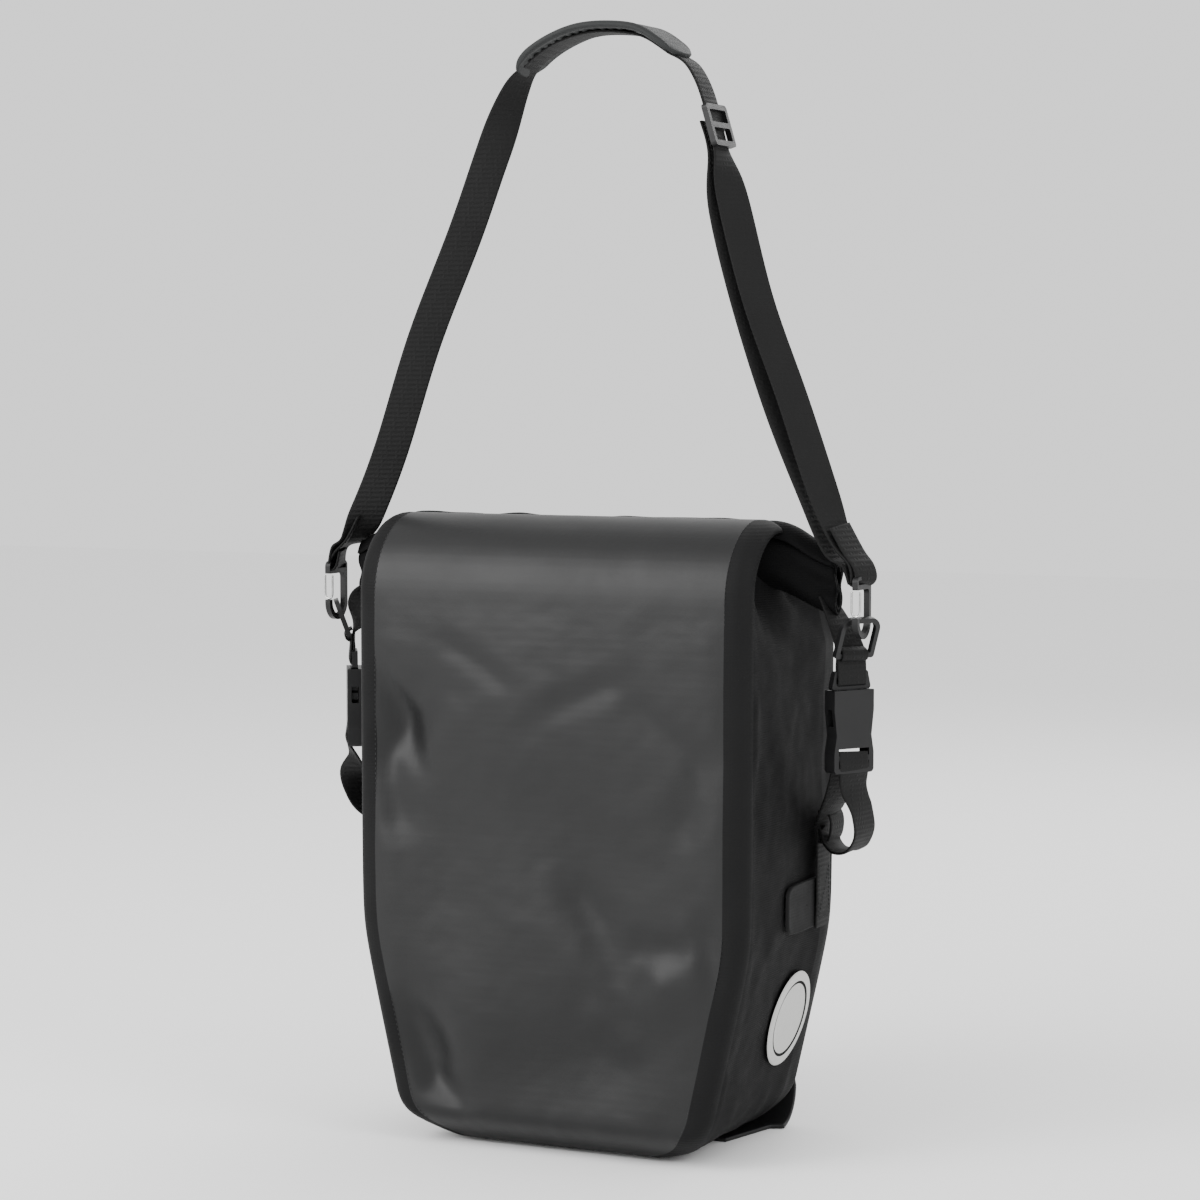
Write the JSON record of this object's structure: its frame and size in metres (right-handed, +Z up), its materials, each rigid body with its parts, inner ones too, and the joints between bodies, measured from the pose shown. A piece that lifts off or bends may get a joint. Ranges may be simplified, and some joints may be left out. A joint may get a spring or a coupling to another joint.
{
  "type": "bicycle pannier bag",
  "caption": "Roll-top bicycle pannier bag with side buckles, rack hooks, release handle and a removable padded shoulder strap.",
  "frame": {"origin": "on the resting plane, under the middle of the whole box", "axes": "+Z up, front panel faces -Y, rack side faces +Y, +X to the right seen from the front"},
  "size_m": [0.427, 0.208, 0.7843],
  "materials": {
    "coated_fabric": "coated, semi-gloss",
    "matte_fabric": "matte laminated fabric",
    "webbing": "woven polyester webbing",
    "steel": "bright wire and screw heads",
    "reflective": "silver reflective film",
    "rubber_pad": "moulded ribbed pad",
    "board": "stiff sheet",
    "moulded_plastic": "moulded nylon"
  },
  "bodies": {
    "bag": {"back_panel": "matte_fabric", "back_seam_tape": "matte_fabric", "back_stiffener": "board", "bottom_guard": "moulded_plastic", "bottom_panel": "matte_fabric", "front_panel": "coated_fabric", "front_seam_tape": "matte_fabric", "guard_rivets": "steel", "handle_guides": "moulded_plastic", "latch_mounts": "moulded_plastic", "latch_pins": "steel", "left_anchor_strap": "webbing", "left_buckle_socket": "moulded_plastic", "left_gusset": "matte_fabric", "left_lower_strap": "webbing", "left_rack_hook": "moulded_plastic", "left_reflector": "reflective", "left_side_patch": "matte_fabric", "left_strap_tail": "webbing", "lower_rail": "moulded_plastic", "rail_screws": "steel", "right_anchor_strap": "webbing", "right_buckle_socket": "moulded_plastic", "right_gusset": "matte_fabric", "right_lower_strap": "webbing", "right_rack_hook": "moulded_plastic", "right_reflector": "reflective", "right_side_patch": "matte_fabric", "right_strap_tail": "webbing", "top_rail": "moulded_plastic"},
    "roll_top": {"collar_front": "coated_fabric", "collar_back": "matte_fabric", "left_collar_gusset": "matte_fabric", "right_collar_gusset": "matte_fabric", "rolled_collar": "matte_fabric", "roll_ends": "matte_fabric", "roll_stiffener": "board", "left_upper_strap": "webbing", "right_upper_strap": "webbing", "left_buckle_plug": "moulded_plastic", "right_buckle_plug": "moulded_plastic"},
    "strap": {"shoulder_strap": "webbing", "shoulder_pad": "rubber_pad", "left_snap_hook": "moulded_plastic", "right_snap_hook": "moulded_plastic"},
    "slider": {"strap_slider": "moulded_plastic"},
    "handle": {"release_handle": "moulded_plastic"},
    "hook_carriage": {"lower_hook_carriage": "moulded_plastic"},
    "lower_hook": {"lower_hook": "moulded_plastic", "lower_hook_screw": "steel"},
    "left_latch": {"left_latch": "moulded_plastic"},
    "left_ring": {"left_d_ring": "moulded_plastic"},
    "left_gate": {"left_hook_gate": "steel"},
    "left_front_prong": {"left_front_prong": "moulded_plastic"},
    "left_rear_prong": {"left_rear_prong": "moulded_plastic"},
    "right_latch": {"right_latch": "moulded_plastic"},
    "right_ring": {"right_d_ring": "moulded_plastic"},
    "right_gate": {"right_hook_gate": "steel"},
    "right_front_prong": {"right_front_prong": "moulded_plastic"},
    "right_rear_prong": {"right_rear_prong": "moulded_plastic"}
  },
  "joints": [
    {"name": "roll_lift", "type": "slide", "parent": "bag", "child": "roll_top", "axis": [0, 0, 1], "range_m": [0, 0.15]},
    {"name": "strap_swing", "type": "hinge", "parent": "roll_top", "child": "strap", "pos_m": [0, -0.0336, 0.37644], "axis": [1, 0, 0], "range_deg": [-75, 100]},
    {"name": "slider_travel", "type": "slide", "parent": "strap", "child": "slider", "axis": [-0.2863, 0, 0.9581], "range_m": [-0.025, 0.006]},
    {"name": "handle_pull", "type": "slide", "parent": "bag", "child": "handle", "axis": [0, 0, 1], "range_m": [0, 0.012], "stiffness_N_per_m": 300, "springref_m": -0.004},
    {"name": "carriage_slide", "type": "slide", "parent": "bag", "child": "hook_carriage", "axis": [1, 0, 0], "range_m": [-0.045, 0.045]},
    {"name": "lower_hook_turn", "type": "hinge", "parent": "hook_carriage", "child": "lower_hook", "pos_m": [0, 0.08, 0.118], "axis": [0, 1, 0], "range_deg": [-90, 90]},
    {"name": "left_latch_turn", "type": "hinge", "parent": "bag", "child": "left_latch", "pos_m": [-0.08, 0.078, 0.3194], "axis": [-1, 0, 0], "range_deg": [0, 66]},
    {"name": "left_ring_swing", "type": "hinge", "parent": "roll_top", "child": "left_ring", "pos_m": [-0.19739, -0.02902, 0.352], "axis": [0.515, -0.8572, 0], "range_deg": [-1, 1.5]},
    {"name": "left_gate_turn", "type": "hinge", "parent": "strap", "child": "left_gate", "pos_m": [-0.205, -0.0446, 0.39533], "axis": [1, 0, 0], "range_deg": [0, 22], "stiffness_Nm_per_rad": 0.02, "springref_deg": -5.73},
    {"name": "left_front_squeeze", "type": "hinge", "parent": "roll_top", "child": "left_front_prong", "pos_m": [-0.19941, -0.01799, 0.328], "axis": [-0.8572, -0.515, 0], "range_deg": [0, 6], "stiffness_Nm_per_rad": 0.05},
    {"name": "left_rear_squeeze", "type": "hinge", "parent": "roll_top", "child": "left_rear_prong", "pos_m": [-0.18859, -0.03599, 0.328], "axis": [-0.8572, -0.515, 0], "range_deg": [-6, 0], "stiffness_Nm_per_rad": 0.05},
    {"name": "right_latch_turn", "type": "hinge", "parent": "bag", "child": "right_latch", "pos_m": [0.08, 0.078, 0.3194], "axis": [-1, 0, 0], "range_deg": [0, 66]},
    {"name": "right_ring_swing", "type": "hinge", "parent": "roll_top", "child": "right_ring", "pos_m": [0.19739, -0.02902, 0.352], "axis": [0.515, 0.8572, 0], "range_deg": [-1, 1.5]},
    {"name": "right_gate_turn", "type": "hinge", "parent": "strap", "child": "right_gate", "pos_m": [0.205, -0.0446, 0.39533], "axis": [1, 0, 0], "range_deg": [0, 22], "stiffness_Nm_per_rad": 0.02, "springref_deg": -5.73},
    {"name": "right_front_squeeze", "type": "hinge", "parent": "roll_top", "child": "right_front_prong", "pos_m": [0.18859, -0.03599, 0.328], "axis": [0.8572, -0.515, 0], "range_deg": [0, 6], "stiffness_Nm_per_rad": 0.05},
    {"name": "right_rear_squeeze", "type": "hinge", "parent": "roll_top", "child": "right_rear_prong", "pos_m": [0.19941, -0.01799, 0.328], "axis": [0.8572, -0.515, 0], "range_deg": [-6, 0], "stiffness_Nm_per_rad": 0.05}
  ],
  "couplings": [
    {"joint": "left_latch_turn", "follows": "handle_pull", "rad_per_m": 94.539},
    {"joint": "left_rear_squeeze", "follows": "left_front_squeeze", "ratio": -1},
    {"joint": "right_latch_turn", "follows": "handle_pull", "rad_per_m": 94.539},
    {"joint": "right_rear_squeeze", "follows": "right_front_squeeze", "ratio": -1}
  ]
}
